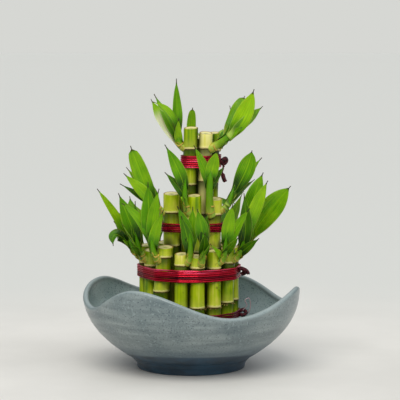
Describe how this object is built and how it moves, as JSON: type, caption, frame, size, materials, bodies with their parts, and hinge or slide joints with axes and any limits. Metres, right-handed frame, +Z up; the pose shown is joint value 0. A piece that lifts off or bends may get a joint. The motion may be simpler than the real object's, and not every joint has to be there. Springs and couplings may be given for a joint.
{
  "type": "lucky bamboo in a ceramic bowl",
  "caption": "Tiered bundle of cut bamboo-like stalks with leafy shoots, tied with red wire and standing in water in a wavy-rimmed stoneware bowl; a table ornament.",
  "frame": {"origin": "middle of the flat foot of the bowl, on the surface that it stands on", "axes": "+X to the right of the front view, +Y to the back, +Z up along the stalks"},
  "size_m": [0.1603, 0.1598, 0.213],
  "materials": {
    "glaze": "blue-grey mottled glaze",
    "water": "clear still water",
    "stalk": "waxy yellow-green cane",
    "wire": "crimson foil-coated wire",
    "leaf": "fresh green leaf, half gloss"
  },
  "bodies": {
    "root": {"bowl": "glaze", "shoot_lower_1": "leaf", "shoot_lower_10": "leaf", "shoot_lower_11": "leaf", "shoot_lower_12": "leaf", "shoot_lower_13": "leaf", "shoot_lower_14": "leaf", "shoot_lower_2": "leaf", "shoot_lower_3": "leaf", "shoot_lower_4": "leaf", "shoot_lower_5": "leaf", "shoot_lower_6": "leaf", "shoot_lower_7": "leaf", "shoot_lower_8": "leaf", "shoot_lower_9": "leaf", "shoot_middle_1": "leaf", "shoot_middle_2": "leaf", "shoot_middle_3": "leaf", "shoot_middle_4": "leaf", "shoot_middle_5": "leaf", "shoot_middle_6": "leaf", "shoot_middle_7": "leaf", "shoot_upper_1": "leaf", "shoot_upper_2": "leaf", "shoot_upper_3": "leaf", "shoot_upper_4": "leaf", "stalk_lower_1": "stalk", "stalk_lower_10": "stalk", "stalk_lower_11": "stalk", "stalk_lower_12": "stalk", "stalk_lower_13": "stalk", "stalk_lower_14": "stalk", "stalk_lower_2": "stalk", "stalk_lower_3": "stalk", "stalk_lower_4": "stalk", "stalk_lower_5": "stalk", "stalk_lower_6": "stalk", "stalk_lower_7": "stalk", "stalk_lower_8": "stalk", "stalk_lower_9": "stalk", "stalk_middle_1": "stalk", "stalk_middle_2": "stalk", "stalk_middle_3": "stalk", "stalk_middle_4": "stalk", "stalk_middle_5": "stalk", "stalk_middle_6": "stalk", "stalk_upper_1": "stalk", "stalk_upper_2": "stalk", "stalk_upper_3": "stalk", "stalk_upper_4": "stalk", "tie_bottom": "wire", "tie_lower": "wire", "tie_middle": "wire", "tie_upper": "wire", "water": "water"}
  },
  "joints": []
}
